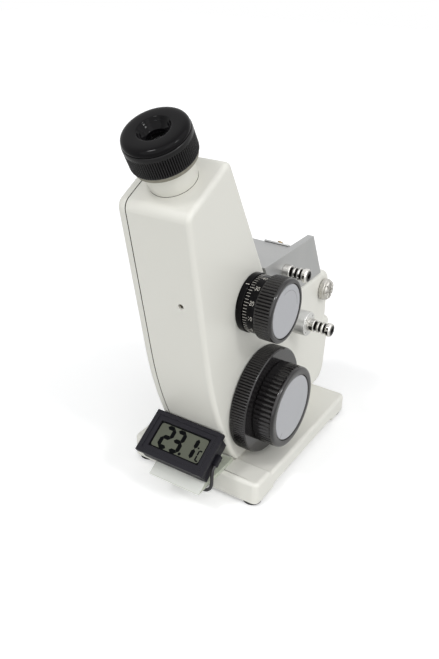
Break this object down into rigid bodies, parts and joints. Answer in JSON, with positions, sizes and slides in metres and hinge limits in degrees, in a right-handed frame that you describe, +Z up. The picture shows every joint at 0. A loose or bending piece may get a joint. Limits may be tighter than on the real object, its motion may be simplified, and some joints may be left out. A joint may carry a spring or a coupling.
{
  "type": "abbe refractometer",
  "caption": "Bench Abbe refractometer: tilted telescope, two hand knobs, hinged prism box with hose nozzles, and a small panel thermometer on a clear bracket.",
  "frame": {"origin": "under the middle of the base, on the plane that the feet stand on", "axes": "+X across the instrument to the hand knobs, +Y to the rear, +Z up; the operator sits at -Y"},
  "size_m": [0.101, 0.1912, 0.2383],
  "materials": {
    "ivory_enamel": "smooth ivory enamel on a casting",
    "black_plastic": "fine satin black",
    "gloss_black_plastic": "polished black",
    "black_rubber": "matt black",
    "satin_grey_metal": "bead-blasted and anodised grey",
    "nickel": "bright nickel plate",
    "steel": "turned",
    "brass": "turned",
    "optical_glass": "polished",
    "mirror": "front-silvered",
    "clear_sheet": "clear acrylic sheet with milky edges",
    "grey_disc": "satin grey printed disc",
    "display_glass": "grey-green display glass"
  },
  "bodies": {
    "stand": {"base_plate": "ivory_enamel", "rubber_feet": "black_rubber", "base_screws": "steel", "housing": "ivory_enamel", "side_cover": "ivory_enamel", "cover_screws": "nickel", "eyepiece_neck": "ivory_enamel", "stop_ring": "satin_grey_metal", "reticle": "optical_glass", "telescope_tube": "black_plastic", "objective_lens": "optical_glass", "compensator_cage": "steel", "index_ring": "gloss_black_plastic", "index_bush": "brass", "sector_pivot": "steel", "condenser_lens": "optical_glass", "refracting_seat": "satin_grey_metal", "refracting_prism": "optical_glass", "hinge_pin": "steel", "nozzle_collar_right": "satin_grey_metal", "nozzle_collar_left": "satin_grey_metal", "nozzle_low_right": "nickel", "nozzle_low_left": "nickel", "display_bracket": "clear_sheet", "bracket_screws": "nickel", "display_body": "black_plastic", "display_bezel": "gloss_black_plastic", "display_window": "display_glass", "lead_grommet": "black_rubber", "probe_lead": "black_rubber"},
    "focusing": {"focus_ring": "black_plastic", "eyecup": "gloss_black_plastic", "lens_cell": "black_plastic", "eye_lens": "optical_glass", "field_lens": "optical_glass"},
    "calibration": {"calibration_screw": "steel"},
    "dispersion": {"dispersion_shaft": "steel", "dispersion_scale": "gloss_black_plastic", "dispersion_knob": "black_plastic", "dispersion_disc": "grey_disc"},
    "upper_cell": {"amici_cell_upper": "brass", "amici_prism_upper": "optical_glass"},
    "lower_cell": {"amici_cell_lower": "brass", "amici_prism_lower": "optical_glass"},
    "index": {"index_shaft": "steel", "index_flange": "black_plastic", "index_knob": "black_plastic", "index_disc": "grey_disc"},
    "sector": {"sector_arm": "brass", "swing_mirror": "mirror", "scale_plate": "optical_glass"},
    "lid": {"lid_seat": "satin_grey_metal", "lid_prism": "optical_glass", "shade_hinge": "satin_grey_metal", "shade_screw": "brass", "nozzle_lid_right": "nickel", "nozzle_lid_left": "nickel"},
    "shade": {"light_shade": "satin_grey_metal"},
    "lock": {"lock_knob": "nickel"}
  },
  "joints": [
    {"name": "focus_turn", "type": "hinge", "parent": "stand", "child": "focusing", "pos_m": [0, -0.0801, 0.2032], "axis": [0, -0.4787, 0.878], "range_deg": [-150, 150]},
    {"name": "calibration_turn", "type": "hinge", "parent": "stand", "child": "calibration", "pos_m": [0.0097, -0.08899, 0.1385], "axis": [0, -0.9826, -0.1857], "range_deg": [-180, 180]},
    {"name": "dispersion_turn", "type": "hinge", "parent": "stand", "child": "dispersion", "pos_m": [0, -0.0373, 0.1247], "axis": [1, 0, 0], "continuous": true},
    {"name": "upper_cell_turn", "type": "hinge", "parent": "stand", "child": "upper_cell", "pos_m": [0, -0.0373, 0.1247], "axis": [0, -0.4787, 0.878], "continuous": true},
    {"name": "lower_cell_turn", "type": "hinge", "parent": "stand", "child": "lower_cell", "pos_m": [0, -0.0373, 0.1247], "axis": [0, -0.4787, 0.878], "continuous": true},
    {"name": "index_turn", "type": "hinge", "parent": "stand", "child": "index", "pos_m": [0, -0.0248, 0.0533], "axis": [1, 0, 0], "range_deg": [-105, 105]},
    {"name": "sector_swing", "type": "hinge", "parent": "stand", "child": "sector", "pos_m": [0, -0.013, 0.078], "axis": [1, 0, 0], "range_deg": [-13, 13]},
    {"name": "lid_swing", "type": "hinge", "parent": "stand", "child": "lid", "pos_m": [0, 0.0638, 0.0945], "axis": [-1, 0, 0], "range_deg": [0, 95]},
    {"name": "shade_swing", "type": "hinge", "parent": "lid", "child": "shade", "pos_m": [0, 0.02375, 0.13629], "axis": [1, 0, 0], "range_deg": [0, 140]},
    {"name": "lock_turn", "type": "hinge", "parent": "stand", "child": "lock", "pos_m": [0.0228, 0.0638, 0.0945], "axis": [1, 0, 0], "range_deg": [0, 90]}
  ],
  "couplings": [
    {"joint": "upper_cell_turn", "follows": "dispersion_turn", "ratio": -1},
    {"joint": "lower_cell_turn", "follows": "dispersion_turn", "ratio": 1},
    {"joint": "sector_swing", "follows": "index_turn", "ratio": -0.12308}
  ]
}
